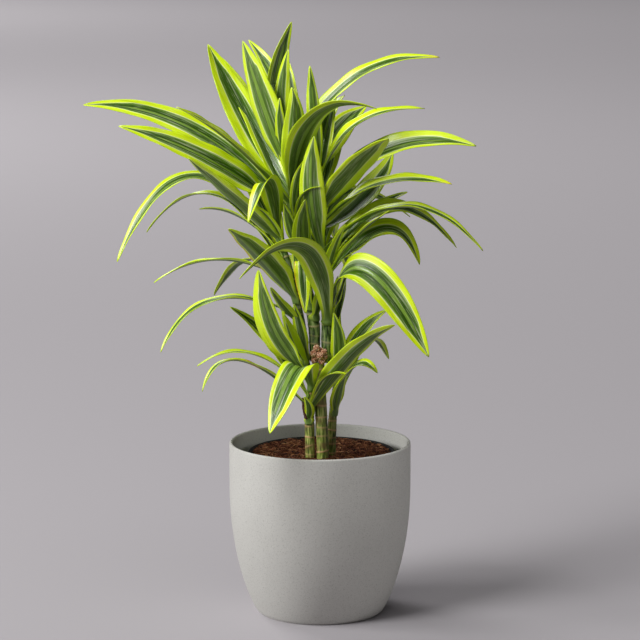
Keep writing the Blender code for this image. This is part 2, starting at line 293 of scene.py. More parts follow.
def makeCoverPot():
    low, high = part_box("cover_pot")
    rimRadius = (high[0] - low[0]) / 2
    foot, shoulder, wall, floorZ = (coverPot[key] for key in ("footRadius", "shoulder", "wall", "floor"))
    rounding, recess = coverPot["footRounding"], coverPot["footRecess"]
    cornerAcross, cornerUp = coverPot["floorCorner"]
    lip = wall / 2

    def outerRadius(z):
        if z >= shoulder:
            return rimRadius
        below = 1 - z / shoulder
        return foot + (rimRadius - foot) * (1 - below * below) ** coverPot["flarePower"]

    count = coverPot["levels"]
    heights = [shoulder * (i / count) ** coverPot["bunching"] for i in range(2, count + 1)]
    profile = [(0, floorZ), (outerRadius(floorZ) - wall - cornerAcross, floorZ)]
    profile += [(outerRadius(z) - wall, z) for z in heights if z > floorZ + cornerUp]
    profile += arc(rimRadius - lip, high[2] - lip, lip, 180, 0, coverPot["lipSteps"])
    profile += [(outerRadius(z), z) for z in reversed(heights)]
    profile += arc(foot - rounding, rounding, rounding, -10, -90, coverPot["footSteps"])
    ring = foot - rounding - coverPot["footRing"]
    profile += [(ring, 0), (ring - coverPot["recessSlope"], recess), (0, recess)]
    addTurned("cover_pot_shell", profile, coverPot["turns"], stonePlastic(), "cover_pot", "cover_pot")
    print("cover pot ready")


makeCoverPot()


# nursery pot

nurseryPot = {
    "footRadius": 58 * mm,
    "wall": 1.1 * mm,
    "lip": 2.2 * mm,
    "lipDepth": 9 * mm,
    "lipRound": 0.9 * mm,
    "lipSteps": 4,
    "underLip": 0.6 * mm,
    "turns": 120,
    "dustSize": 9 * mm,
    "black": [(0.4, "#0b0a0b"), (0.75, "#1c1917")],
}


def blackPolypropylene():
    # Injection-moulded black polypropylene: a soft satin with faint flow clouds and dust on it.
    made, node = newMaterial("black_polypropylene")
    place = node("TexCoord", out="Object")
    dust = node("TexNoise", {"Scale": 1 / nurseryPot["dustSize"], "Detail": 5}, {"Vector": place})
    colour = node("ValToRGB", {"stops": nurseryPot["black"]}, {"Fac": dust})
    rough = node("MapRange", {"To Min": 0.55, "To Max": 0.75}, {"Value": dust})
    shader = node("BsdfPrincipled", {"IOR": 1.49}, {"Base Color": colour, "Roughness": rough})
    node("OutputMaterial", links={"Surface": shader})
    return made


def makeNurseryPot():
    # The drain holes can't be seen once it is filled, so only the CAD part has them.
    (left, _, bottom), (right, _, top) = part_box("nursery_pot")
    foot, wall, lip = nurseryPot["footRadius"], nurseryPot["wall"], nurseryPot["lip"]
    bead, steps, under = nurseryPot["lipRound"], nurseryPot["lipSteps"], nurseryPot["underLip"]
    edge = (right - left) / 2
    rim = edge - lip
    lipFoot = top - nurseryPot["lipDepth"]
    profile = [(0, bottom + wall), (foot - wall, bottom + wall), (rim - wall, top - bead)]
    profile += arc(rim - wall + bead, top - bead, bead, 180, 90, steps)
    profile += arc(rim + lip - bead, top - bead, bead, 90, 0, steps)
    profile += [(rim + lip, lipFoot), (rim + lip - wall, lipFoot), (rim - under, lipFoot + under),
                (foot, bottom), (0, bottom)]
    addTurned("nursery_pot_wall", profile, nurseryPot["turns"], blackPolypropylene(), "nursery_pot",
              "nursery_pot", (left + right) / 2)
    print("nursery pot ready")


makeNurseryPot()


# potting mix

coir = {
    "seed": 41,
    "sunk": 2.5 * mm,  # the visible mix starts this far under the CAD's top, then heaps up
    "heap": 1.8 * mm,
    "crown": 2.5 * mm,
    "crownReach": 0.95,  # shares of the radius
    "flatFrom": 0.93,
    "lumpSize": 7 * mm,
    "lumpHeight": 3.0 * mm,
    "crumbSize": 2.2 * mm,
    "crumbHeight": 0.8 * mm,
    "settled": 0.4 * mm,
    "edgeGap": 0.1 * mm,
    "footGap": 1 * mm,
    "rings": 70,
    "around": 160,
    "tones": [(0.1, "#170b07"), (0.34, "#3a1c11"), (0.55, "#6a3823"), (0.75, "#9a6540"), (0.95, "#cfa679")],
    "grainSize": 2.4 * mm,
    "bedTone": 0.28,
    "toneSpread": 0.3,
    "toneSize": 5 * mm,
    "clearOfWall": 3 * mm,  # fibres and chips keep this far off the pot's wall
    "fibres": 2600,
    "fibreLength": (6 * mm, 20 * mm),
    "fibreRadius": (0.16 * mm, 0.34 * mm),
    "fibreCurl": 2.4,
    "fibreLift": (0.1, 2.2),
    "fibreTone": (3, 2.4),
    "fibreLinks": 5,
    "fibreRest": 0.35 * mm,
    "fibreRidge": 1.6,
    "chips": 1500,
    "chipSize": (0.9 * mm, 3.0 * mm),
    "chipWidth": (0.4, 0.9),
    "chipDepth": (0.25, 0.6),
    "chipTilt": 0.7,
    "chipSits": 0.3,
    "chipTone": (2.2, 3.4),
    "chipRough": 0.35,
}


def coirMaterial():
    # Coir, the ground husk of coconuts, moist: red-brown pith with paler fibres and next to no shine.
    made, node = newMaterial("moist_coir")
    place = node("TexCoord", out="Object")
    tone = node("Attribute", {"attribute_name": "tone"}, out="Fac")
    crumbs = node("TexNoise", {"Scale": 1 / coir["grainSize"], "Detail": 5}, {"Vector": place})
    fromTone = node("Math", {"operation": "MULTIPLY", 1: 0.75}, {0: tone})
    fromCrumbs = node("Math", {"operation": "MULTIPLY", 1: 0.3}, {0: crumbs})
    mixed = node("Math", {"operation": "ADD"}, {0: fromTone, 1: fromCrumbs})
    colour = node("ValToRGB", {"stops": coir["tones"]}, {"Fac": mixed})
    bump = node("Bump", {"Strength": 0.6, "Distance": 0.3 * mm}, {"Height": crumbs})
    shader = node("BsdfPrincipled", {"Roughness": 0.86, "Specular IOR Level": 0.3},
                  {"Base Color": colour, "Normal": bump})
    node("OutputMaterial", links={"Surface": shader})
    return made


def bedHeight(x, y, top, radius, centreX):
    # a low crown in the middle, with lumps and small crumbs
    out = math.hypot(x - centreX, y) / radius
    crown = coir["crown"] * (1 - eased(out, 0, coir["crownReach"]))
    rough = noise.noise(Vector((x, y, 0)) / coir["lumpSize"]) * coir["lumpHeight"]
    rough += noise.noise(Vector((x, y, 0.03)) / coir["crumbSize"]) * coir["crumbHeight"]
    return top + coir["heap"] + crown + rough * (1 - eased(out, coir["flatFrom"], 1)) - coir["settled"]


def addCoir(name, verts, faces, tones, material, smooth=False, replaced=None):
    mesh = newMesh(name, verts, faces, smooth)
    addAttribute(mesh, "tone", tones)
    addPiece(name, mesh, material, "potting_mix", replaced)


def circlePoints(centreX, radius, count):
    angles = [math.tau * k / count for k in range(count)]
    return [(centreX + radius * math.cos(angle), radius * math.sin(angle)) for angle in angles]


def makeBed(material, surface, centreX, radius, bottom):
    around, rings = coir["around"], coir["rings"]
    verts = [(centreX, 0, surface(centreX, 0))]
    for ring in range(1, rings + 1):
        verts += [(x, y, surface(x, y)) for x, y in circlePoints(centreX, radius * ring / rings, around)]
    footRadius = nurseryPot["footRadius"] - nurseryPot["wall"] - coir["footGap"]
    verts += [(x, y, bottom) for x, y in circlePoints(centreX, footRadius, around)]
    verts.append((centreX, 0, bottom))
    faces = [(0, 1 + k, 1 + (k + 1) % around) for k in range(around)]
    for ring in range(rings):
        inner = 1 + ring * around
        outer = inner + around
        for k in range(around):
            following = (k + 1) % around
            faces.append((inner + k, outer + k, outer + following, inner + following))
    last = 1 + rings * around
    faces += [(len(verts) - 1, last + (k + 1) % around, last + k) for k in range(around)]
    tones = [coir["bedTone"] + coir["toneSpread"] * noise.noise(Vector(v) / coir["toneSize"]) for v in verts]
    addCoir("coir_bed", verts, faces, tones, material, True, "potting_mix")


def pickSpot(dice, centreX, radius):
    r = (radius - coir["clearOfWall"]) * math.sqrt(dice.random())
    angle = dice.uniform(0, math.tau)
    return centreX + r * math.cos(angle), r * math.sin(angle)


def makeFibres(material, surface, centreX, radius, dice):
    links = coir["fibreLinks"]
    verts, faces, tones = [], [], []
    for _ in range(coir["fibres"]):
        x, y = pickSpot(dice, centreX, radius)
        heading = dice.uniform(0, math.tau)
        length = dice.uniform(*coir["fibreLength"])
        thick = dice.uniform(*coir["fibreRadius"])
        curl = dice.uniform(-coir["fibreCurl"], coir["fibreCurl"])
        lift = dice.uniform(*coir["fibreLift"]) * mm
        tone = dice.betavariate(*coir["fibreTone"])
        start = len(verts)
        step = length / links
        for link in range(links + 1):
            z = surface(x, y) + coir["fibreRest"] + lift * math.sin(math.pi * link / links)
            side = Vector((-math.sin(heading), math.cos(heading), 0)) * thick
            verts += [(x + side.x, y + side.y, z), (x - side.x, y - side.y, z),
                      (x, y, z + thick * coir["fibreRidge"])]
            tones += [tone] * 3
            goesTo = (x + math.cos(heading) * step - centreX, y + math.sin(heading) * step)
            if math.hypot(*goesTo) > radius - 1 * mm:  # turns back before the wall
                heading += math.pi * 0.6
            x += math.cos(heading) * step
            y += math.sin(heading) * step
            heading += curl / links
        for link in range(links):
            a = start + link * 3
            faces += [(a + k, a + (k + 1) % 3, a + 3 + (k + 1) % 3, a + 3 + k) for k in range(3)]
        end = start + links * 3
        faces += [(start + 2, start + 1, start), (end, end + 1, end + 2)]
    addCoir("coir_fibres", verts, faces, tones, material)


def makeChips(material, surface, centreX, radius, dice):
    ball = bmesh.new()
    bmesh.ops.create_icosphere(ball, subdivisions=1, radius=1)
    ballVerts = [v.co.copy() for v in ball.verts]
    ballFaces = [[v.index for v in f.verts] for f in ball.faces]
    ball.free()
    tilt = coir["chipTilt"]
    verts, faces, tones = [], [], []
    for _ in range(coir["chips"]):
        x, y = pickSpot(dice, centreX, radius)
        size = dice.uniform(*coir["chipSize"])
        shape = Vector((1, dice.uniform(*coir["chipWidth"]), dice.uniform(*coir["chipDepth"]))) * size
        turn = Matrix.Rotation(dice.uniform(0, roundTurn), 3, "Z")
        turn = turn @ Matrix.Rotation(dice.uniform(-tilt, tilt), 3, "X")
        place = Vector((x, y, surface(x, y) + shape.z * coir["chipSits"]))
        start = len(verts)
        tone = dice.betavariate(*coir["chipTone"])
        for corner in ballVerts:
            jitter = 1 + coir["chipRough"] * noise.noise(corner * 1.7 + Vector((x, y, 0)) * 900)
            verts.append(place + turn @ (corner * shape) * jitter)
            tones.append(tone)
        faces += [[start + i for i in face] for face in ballFaces]
    addCoir("coir_chips", verts, faces, tones, material)


def makePottingMix():
    material = coirMaterial()
    (left, _, bottom), (right, _, high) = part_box("potting_mix")
    centreX = (left + right) / 2
    radius = (right - left) / 2 - coir["edgeGap"]
    dice = random.Random(coir["seed"])

    def surface(x, y):
        return bedHeight(x, y, high - coir["sunk"], radius, centreX)

    makeBed(material, surface, centreX, radius, bottom)
    makeFibres(material, surface, centreX, radius, dice)
    makeChips(material, surface, centreX, radius, dice)
    print("potting mix ready")


makePottingMix()


# stems: points up each one (x, y, z) and the radius there

planted = 124.4
stems = {
    "left_cane": [
        (-12, -40, planted, 5.5), (-12, -40, 196, 5.8), (-12.5, -41, 246, 5.5), (-11.5, -48, 270, 4.4),
        (-9.5, -53, 290, 3.6), (-9, -55, 308, 1.8),
    ],
    "middle_cane": [
        (3.5, -42, planted, 7.2), (3.5, -42, 196, 7.3), (1.5, -41, 250, 7.2), (-2, -40, 314, 7.2),
    ],
    "right_cane": [
        (13.5, -27, planted, 5.4), (13.5, -27, 196, 5.6), (15.5, -26, 250, 5.0), (19.5, -26, 282, 4.2),
        (22, -26, 312, 1.8),
    ],
    "left_shoot": [
        (-11.5, -40, 296, 3.4), (-16.5, -39, 314, 4.4), (-20.5, -37, 352, 4.5), (-25, -36, 376, 4.4),
        (-36, -34, 424, 4.1), (-48, -32, 466, 3.4), (-52, -33, 486, 1.8),
    ],
    "middle_shoot": [
        (-7, -37, 315, 4.8), (-6.5, -36, 340, 6.8), (-8, -35, 365, 7.0), (-17, -32, 412, 5.8),
        (-28, -28, 473, 4.8), (-34, -26, 515, 4.0), (-39, -24, 566, 1.8),
    ],
    "right_shoot": [
        (5.5, -41, 315, 5.4), (8.5, -41, 332, 7.0), (8.5, -41, 376, 7.0), (6, -40, 413, 6.0),
        (2.5, -38, 449, 5.2), (-2, -35, 510, 4.0), (-4, -34, 556, 1.8),
    ],
}
stemLook = {
    "around": 28,
    "step": 0.9,  # between rings of points
    "curveSteps": 4,
    "ringPitch": {"left_cane": 15, "middle_cane": 17, "right_cane": 15, "left_shoot": 14, "middle_shoot": 17,
                  "right_shoot": 17},
    "ringSpread": (0.55, 1.35),
    "firstRing": 2,
    "ringStrength": (0.45, 1.0),
    "ringSlant": (0.3, 2.4),
    "ringWidth": 1.25,
    "ringHeight": 0.45,
    "wobble": 0.35,
    "wobblePerMm": 0.05,
    "patternRadius": 5,
    "seed": 7,
    "drawnOut": (1.0, 0.12, 1.0),  # streaks run up the stem
    "streaksPerMm": 0.55,
    "patchesPerMm": 0.09,
    "corkPatches": [(0.48, "#000000"), (0.62, "#ffffff")],
    "colours": {
        # dark, plain and pale skin, cork and scar
        "cane": ("#3e4a1c", "#7c8c36", "#b3b669", "#7a5c3c", "#c9a172"),
        "shoot": ("#1d2d0e", "#44601f", "#8a9c58", "#7d8466", "#a39a6c"),
    },
}


def smoothPath(points, span):
    # a curve through all the points, with span steps from each to the next
    padded = [points[0], *points, points[-1]]
    path = []
    for i in range(1, len(padded) - 2):
        before, start, end, after = (Vector(p) for p in padded[i - 1:i + 3])
        for step in range(span):
            t = step / span
            linear = (end - before) * t
            square = (2 * before - 5 * start + 4 * end - after) * t * t
            cube = (3 * start - before - 3 * end + after) * t ** 3
            path.append(0.5 * (2 * start + linear + square + cube))
    path.append(Vector(points[-1]))
    return path


stemPaths = {stem: [(Vector(p[:3]), p[3]) for p in smoothPath(points, stemLook["curveSteps"])]
             for stem, points in stems.items()}


def stemAt(stem, height):
    path = stemPaths[stem]
    for (low, lowRadius), (high, highRadius) in zip(path, path[1:]):
        if low.z <= height <= high.z:
            share = (height - low.z) / (high.z - low.z)
            return low.lerp(high, share), lowRadius + (highRadius - lowRadius) * share
    return path[-1]


def barkMaterial(name, colours):
    # Living bark: smooth green skin with a thin cork layer, so a soft satin; leaf scars show as tan rings.
    made, node = newMaterial(name)
    ring = node("Attribute", {"attribute_name": "ring"}, out="Fac")
    stemMm = node("Attribute", {"attribute_name": "stemMm"}, out="Vector")
    drawn = node("VectorMath", {"operation": "MULTIPLY", 1: stemLook["drawnOut"]}, {0: stemMm})
    streaks = node("TexNoise", {"Scale": stemLook["streaksPerMm"], "Detail": 4}, {"Vector": drawn})
    patches = node("TexNoise", {"Scale": stemLook["patchesPerMm"], "Detail": 3}, {"Vector": stemMm})
    *skins, corkColour, scarColour = colours
    stops = list(zip((0.36, 0.5, 0.66), skins))
    colour = node("ValToRGB", {"stops": stops}, {"Fac": streaks})
    corky = node("ValToRGB", {"stops": stemLook["corkPatches"]}, {"Fac": patches})
    cork = node("Math", {"operation": "MULTIPLY", 1: 0.6}, {0: corky})
    colour = node("Mix", {"data_type": "RGBA", 7: corkColour}, {0: cork, 6: colour}, 2)
    worn = node("MapRange",
                {"From Min": 0.3, "From Max": 0.55, "To Min": 0.6, "To Max": 1.3}, {"Value": streaks})
    scar = node("Math", {"operation": "MULTIPLY"}, {0: ring, 1: worn})
    colour = node("Mix", {"data_type": "RGBA", 7: scarColour}, {0: scar, 6: colour}, 2)
    bump = node("Bump", {"Strength": 0.5, "Distance": 0.25 * mm}, {"Height": streaks})
    shader = node("BsdfPrincipled", {"Roughness": 0.5, "Specular IOR Level": 0.4},
                  {"Base Color": colour, "Normal": bump})
    node("OutputMaterial", links={"Surface": shader})
    return made


def addTube(name, path, radiusOf, around, material, slot, replaced=None, ringOf=None):
    # a closed round tube along points in mm; radiusOf gives the radius at a point's number, angle and length
    verts, rings, places = [], [], []
    side = Vector((1, 0, 0))
    travelled = 0.0
    for i, point in enumerate(path):
        before = path[max(i - 1, 0)]
        after = path[min(i + 1, len(path) - 1)]
        along = (after - before).normalized()
        side = (side - along * side.dot(along)).normalized()
        other = along.cross(side)
        if i:
            travelled += (point - path[i - 1]).length
        for k in range(around):
            angle = math.tau * k / around
            outward = side * math.cos(angle) + other * math.sin(angle)
            verts.append((point + outward * radiusOf(i, angle, travelled)) * mm)
            rings.append(ringOf(travelled, angle) if ringOf else 0.0)
            # the length of the name gives stems different patterns
            places += (angle * stemLook["patternRadius"], travelled, len(name))
    faces = []
    for i in range(len(path) - 1):
        for k in range(around):
            following = (k + 1) % around
            faces.append((i * around + k, i * around + following, (i + 1) * around + following,
                          (i + 1) * around + k))
    faces += [tuple(reversed(range(around))), tuple(range(len(verts) - around, len(verts)))]
    mesh = newMesh(name, verts, faces)
    addAttribute(mesh, "ring", rings)
    addAttribute(mesh, "stemMm", places, "FLOAT_VECTOR")
    addPiece(name, mesh, material, slot, replaced)


def makeStem(stem, material, slot, dice):
    coarse = stemPaths[stem]
    total = sum((b[0] - a[0]).length for a, b in zip(coarse, coarse[1:]))
    count = int(total / stemLook["step"])
    bottom = coarse[0][0].z
    top = coarse[-1][0].z
    path, radii = zip(*(stemAt(stem, bottom + (top - bottom) * i / count) for i in range(count + 1)))
    pitch = stemLook["ringPitch"][stem]
    marks = []
    reached = dice.uniform(stemLook["firstRing"], pitch)
    while reached < total:
        marks.append((reached, dice.uniform(*stemLook["ringStrength"]), dice.uniform(0, roundTurn),
                      dice.uniform(*stemLook["ringSlant"])))
        reached += pitch * dice.uniform(*stemLook["ringSpread"])

    def ringAmount(travelled, angle):
        best = 0.0
        for place, strength, phase, slant in marks:
            away = abs(travelled - place - slant * math.sin(angle + phase)) / stemLook["ringWidth"]
            if away < 1:
                best = max(best, (1 - away * away) * strength)
        return min(best, 1.0)

    def radiusOf(i, angle, travelled):
        spot = Vector((math.cos(angle), math.sin(angle), travelled * stemLook["wobblePerMm"] + len(stem)))
        wobble = noise.noise(spot) * stemLook["wobble"]
        return radii[i] + wobble + ringAmount(travelled, angle) * stemLook["ringHeight"]

    addTube(stem + "_bark", path, radiusOf, stemLook["around"], material, slot, stem, ringAmount)


def makeStems():
    bark = {slot: barkMaterial(slot + "_bark", colours) for slot, colours in stemLook["colours"].items()}
    dice = random.Random(stemLook["seed"])
    for stem in stems:
        slot = "cane" if stem.endswith("cane") else "shoot"
        makeStem(stem, bark[slot], slot, dice)
    print("stems ready")


makeStems()


# the healed cut on top of the middle cane, and a dried stub on the left one

scars = {
    "callusCentre": (-1.5, -45, 325),
    "callusSize": (9.5, 7.0, 9.0),
    "knobs": [  # place from the centre, radius
        (1.5, -6.5, -1, 4.6), (-6, -4.5, 1.5, 4.4), (6.5, -4.5, 3.5, 4.2), (-2.5, -4.5, 8, 4.4),
        (4, -4, -8, 4.2), (-5.5, -4, -7, 3.8), (8, -3, -3, 3.2),
    ],
    "dents": 0.5,  # how deep the cork is creased, as a share of a knob's radius
    "creaseSizes": (1.7, 4.3),
    "creaseGain": 2.4,
    "stubPath": [(-15.5, -45, 248), (-18, -48, 256), (-19.5, -50, 264), (-20, -50, 273)],
    "stubRadius": (3.2, 1.6),
    "stubSteps": 8,
    "stubAround": 20,
    "stubRough": 0.5,
    "grainSize": 2.6 * mm,
    "cork": [(0.3, "#7a4226"), (0.45, "#bf8464"), (0.64, "#f2cdac")],
    # painted shade: the creases between the knobs are darkened nearly to black
    "paintedCreaseShade": [(0.2, "#ffffff"), (0.62, "#000000")],
    "paintedShadeColour": "#20120c",
}


def corkMaterial():
    # Healed wood: dry, crumbly cork over a cut, so no gloss; tan knobs, with painted shade darkening the
    # creases between them.
    made, node = newMaterial("healed_cork")
    place = node("TexCoord", out="Object")
    grain = node("TexNoise", {"Scale": 1 / scars["grainSize"], "Detail": 5}, {"Vector": place})
    raised = node("Attribute", {"attribute_name": "raised"}, out="Fac")
    cork = node("ValToRGB", {"stops": scars["cork"]}, {"Fac": grain})
    # painted shade: near-black is mixed into the creases, where the knobs are least raised
    paintedCreaseShade = node("ValToRGB", {"stops": scars["paintedCreaseShade"]}, {"Fac": raised})
    paintedCreaseShade = node("Math", {"operation": "MULTIPLY", 1: 0.88}, {0: paintedCreaseShade})
    colour = node("Mix", {"data_type": "RGBA", 7: scars["paintedShadeColour"]}, {0: paintedCreaseShade, 6: cork}, 2)
    bump = node("Bump", {"Strength": 0.9, "Distance": 0.6 * mm}, {"Height": grain})
    shader = node("BsdfPrincipled", {"Roughness": 0.85, "Specular IOR Level": 0.25},
                  {"Base Color": colour, "Normal": bump})
    node("OutputMaterial", links={"Surface": shader})
    return made


def makeScars():
    cork = corkMaterial()
    shape = bmesh.new()
    lumps = [((0, 0, 0), scars["callusSize"])]
    lumps += [(knob[:3], (knob[3],) * 3) for knob in scars["knobs"]]
    coarse, fine = scars["creaseSizes"]
    raised = []
    for offset, size in lumps:
        place = Vector(offset)
        made = bmesh.ops.create_icosphere(shape, subdivisions=4, radius=1)
        for vert in made["verts"]:
            crease = abs(noise.noise(vert.co * coarse + place)) + 0.4 * abs(noise.noise(vert.co * fine))
            raised.append(min(crease * scars["creaseGain"], 1.0))
            dented = 1 - scars["dents"] * (1 - raised[-1])
            vert.co = (Vector(scars["callusCentre"]) + place + vert.co * Vector(size) * dented) * mm
    mesh = bpy.data.meshes.new("cane_callus")
    shape.to_mesh(mesh)
    shape.free()
    mesh.shade_smooth()
    addAttribute(mesh, "raised", raised)
    addPiece("cane_callus", mesh, cork, "cane")
    path = smoothPath(scars["stubPath"], scars["stubSteps"])
    thick, thin = scars["stubRadius"]

    def stubRadius(i, angle, travelled):
        spot = Vector((math.cos(angle), math.sin(angle), travelled * 0.3)) * 1.5
        return thick + (thin - thick) * i / (len(path) - 1) + scars["stubRough"] * noise.noise(spot)

    addTube("dried_stub", path, stubRadius, scars["stubAround"], cork, "cane")
    print("callus and stub ready")


makeScars()


# leaves: height on the stem, side it faces in degrees, bend point, tip and width; then the roll in degrees
# where there is one, and the bend weight of a folded leaf

foldBend = 0.85
leafRows = {
    "middle_shoot": [
        (556, 130, (-56, 12, 628), (-34, 20, 716), 30), (553, 0, (39, -20, 650), (141, -20, 676), 26, 30),
        (545, 232, (-65, -42, 610), (-91, -30, 696), 44), (531, 278, (-29, -60, 600), (-33, -66, 644), 30),
        (517, 305, (-2, -85, 609), (65, -120, 623), 44), (526, 68, (-36, 48, 624), (-48, 75, 684), 27),
        (514, 104, (-86, 22, 592), (-135, 45, 688), 44),
        (504, 225, (-101, -85, 578), (-164, -130, 626), 38, -30), (500, 50, (5, 45, 590), (30, 120, 620), 34),
        (496, 180, (-154, -22, 592), (-280, -20, 620), 33, -58),
        (482, 90, (-40, 60, 560), (-45, 145, 560), 34),
        (486, 214, (-128, -66, 558), (-234, -80, 600), 37, -70),
        (455, 100, (-48, 66, 530), (-85, 150, 515), 34), (440, 305, (-20, -68, 479), (-17, -84, 515), 28),
        (426, 62, (8, 55, 476), (18, 140, 440), 32),
        (420, 283, (-20, -60, 437), (-17, -62, 377), 20, 0, foldBend),
    ],
    "left_shoot": [
        (480, 276, (-62, -92, 536), (-83, -122, 492), 27, 0, foldBend),
        (462, 228, (-105, -76, 514), (-152, -118, 567), 46, -15),
        (446, 130, (-83, 14, 527), (-135, 38, 561), 30, -20),
        (435, 160, (-150, 0, 532), (-240, -50, 437), 26, -10),
        (421, 150, (-127, 18, 508), (-211, 45, 460), 20), (390, 75, (-25, 40, 432), (-30, 105, 400), 32),
        (412, 190, (-121, -45, 438), (-196, -60, 413), 20), (402, 130, (-80, 20, 430), (-130, 60, 380), 30),
        (392, 238, (-65, -76, 441), (-105, -130, 486), 42),
        (372, 200, (-126, -65, 392), (-187, -90, 335), 21, -10),
    ],
    "right_shoot": [
        (544, 92, (22, 16, 585), (56, 50, 613), 34), (526, 330, (41, -50, 597), (123, -38, 617), 30, 35),
        (512, 350, (86, -48, 573), (183, -60, 575), 33, 45), (508, 85, (15, 45, 575), (30, 110, 590), 32),
        (496, 299, (46, -88, 552), (77, -145, 591), 42), (482, 332, (70, -52, 528), (154, -80, 532), 34, 30),
        (474, 60, (56, 4, 510), (88, 42, 559), 38), (466, 105, (-5, 60, 520), (0, 140, 500), 33),
        (456, 258, (-10, -68, 521), (-7, -76, 588), 32), (452, 335, (100, -68, 504), (190, -90, 455), 28, 12),
        (446, 108, (36, 64, 502), (112, 118, 470), 30), (434, 50, (52, 2, 482), (105, 10, 513), 28),
        (420, 350, (77, -40, 475), (118, -40, 432), 32, 45), (412, 90, (20, 50, 450), (35, 120, 400), 32),
        (396, 333, (58, -80, 428), (127, -110, 333), 40, 45),
        (368, 272, (-22, -113, 460), (-92, -152, 431), 34),
    ],
    "right_cane": [
        (308, 140, (14, 6, 362), (22, 12, 411), 28), (288, 335, (48, -39, 342), (79, -50, 378), 40, 42),
        (268, 312, (43, -54, 312), (68, -66, 306), 26, 30), (266, 60, (50, 20, 330), (85, 65, 300), 28),
    ],
    "left_cane": [
        (303, 198, (-57, -82, 354), (-72, -90, 433), 36, 50),
        (289, 256, (-26, -102, 316), (-58, -150, 250), 40, 0, foldBend),
        (276, 172, (-61, -34, 338), (-107, -40, 381), 26, -20),
        (262, 290, (38, -88, 332), (87, -112, 371), 31), (264, 215, (-96, -80, 323), (-138, -100, 290), 19),
    ],
}

# small leaves among the big ones, too thin to be CAD solids of their own
smallLeafRows = {
    "middle_shoot": [
        (498, 115, (-85, 35, 609), (-124, 85, 672), 30), (535, 100, (-43, 5, 621), (-86, 50, 693), 26),
        (550, 250, (-46, -36, 619), (-37, -40, 687), 22), (462, 330, (-23, -60, 511), (1, -70, 528), 16),
        (487, 300, (-25, -47, 530), (-14, -56, 562), 18), (535, 255, (-46, -48, 594), (-47, -58, 631), 16),
        (455, 250, (-35, -52, 478), (-42, -62, 507), 16), (385, 250, (-22, -46, 416), (-32, -50, 452), 18),
        (372, 300, (2, -50, 402), (4, -54, 432), 16),
    ],
    "left_shoot": [
        (445, 175, (-96, -5, 484), (-146, 30, 490), 18), (362, 230, (-45, -58, 385), (-58, -75, 410), 18),
        (318, 240, (-33, -55, 345), (-42, -65, 376), 18), (325, 280, (-23, -49, 352), (-31, -48, 386), 15),
        (345, 185, (-40, -44, 352), (-46, -46, 386), 16), (455, 240, (-64, -42, 486), (-83, -50, 504), 18),
    ],
    "right_shoot": [
        (540, 280, (-7, -38, 608), (-12, -34, 667), 18), (530, 60, (6, -18, 582), (19, 0, 631), 26),
        (432, 15, (82, -25, 498), (164, 0, 447), 26, 30), (420, 330, (41, -60, 464), (81, -80, 501), 16),
        (420, 310, (18, -62, 455), (30, -75, 484), 18), (372, 350, (27, -42, 402), (38, -46, 440), 20, 25),
        (350, 30, (26, -28, 388), (30, -22, 432), 20),
    ],
    "right_cane": [
        (255, 300, (24, -46, 283), (32, -50, 301), 18), (290, 270, (22, -52, 337), (16, -58, 377), 20),
    ],
    "left_cane": [
        (268, 320, (7, -76, 302), (31, -85, 308), 14), (248, 260, (-13, -58, 263), (-19, -64, 277), 12),
        (280, 190, (-82, -60, 328), (-145, -70, 315), 15),
    ],
}

blade = {
    "stations": 54,
    "across": (-1, -0.88, -0.74, -0.6, -0.45, -0.28, -0.12, 0, 0.12, 0.28, 0.45, 0.6, 0.74, 0.88, 1),
    "curveSteps": 96,
    "softBend": 0.667,
    "thickness": 0.6,
    "sheathLength": 8,
    "sheathHalfWidth": 4.2,
    "sheathTaper": 7,
    "tipHalfWidth": 0.4,
    "bellyShift": 0.9,  # below 1 brings the widest place nearer the foot
    "bellyPower": 0.75,
    "neck": 0.55,
    "neckEnds": (0.05, 0.35),  # shares of the length, as are the next four
    "rollEnds": 0.4,
    "channelEnds": 0.2,
    "waveStarts": (0.12, 0.32),
    "waveFades": 0.6,
    "channel": 0.3,
    "channelPower": 1.15,
    "clearance": 1.2,
    "clasp": 1.8,  # how far the sheath reaches round the stem each way, in stem radii
    "claspOpens": (9, 27),
    "claspLoosens": 0.06,
    "sheathNarrows": (1, 17),
    "sheathWidens": (-1, 6),
    "sheathStart": 0.3,
    "waveHeight": 1.1,
    "waveLength": (38, 62),
    "midribDip": 0.5,
    "midribHalf": 0.12,
    "marginShift": (-0.16, 0.02),
    "skew": (-0.16, 0.16),  # the dark middle sits off centre
    "patternStep": 31.0,  # sets one leaf's streaks apart from the next one's
    "seed": 90,
}
skin = {
    # from the midrib out to the margin
    "bands": [
        (0.0, "#6c8c2c"), (0.05, "#284506"), (0.26, "#365808"), (0.44, "#547a12"), (0.50, "#9db460"),
        (0.52, "#e8eeca"), (0.55, "#d8e84a"), (0.62, "#cde414"), (1.0, "#c2dc06"),
    ],
    "streaked": [(0.06, "#000000"), (0.2, "#ffffff"), (0.44, "#ffffff"), (0.54, "#000000")],
    "duller": [(0.5, "#ffffff"), (0.6, "#1a1a1a")],
    "ageing": [(0.0, "#c8cc20"), (0.45, "#d9a21c"), (0.8, "#b5651d"), (1.0, "#6e3a1a")],
    # over the bands: what drives each layer, from where to where, how strong at each, and the colour;
    # the first is the grey-white streaks of the dark middle, 1 to 2 mm wide
    "layers": [
        ("streaks", 0.5, 0.7, 0.0, 0.5, "#c0cba2"), ("hairs", 0.56, 0.7, 0.0, 0.26, "#dfe6b4"),
        ("streaks", 0.3, 0.45, 0.3, 0.0, "#3f6408"), ("along", 0.03, 0.15, 0.92, 0.0, "#66803a"),
    ],
    "under": "#6f8a30",
    "drawnOut": (1.0, 0.03, 1.0),  # streaks run along the blade
    "driftPerMm": 0.16,
    "streaksPerMm": 0.5,
    "hairsPerMm": 1.7,
    "drift": 0.15,
    "veinSpacing": 1.5,  # real veins are about 0.8 mm apart: drawn wider so that they show
    "veinHeight": 0.2,
    "upperRough": (0.18, 0.34),
    "underRough": (0.38, 0.55),
}

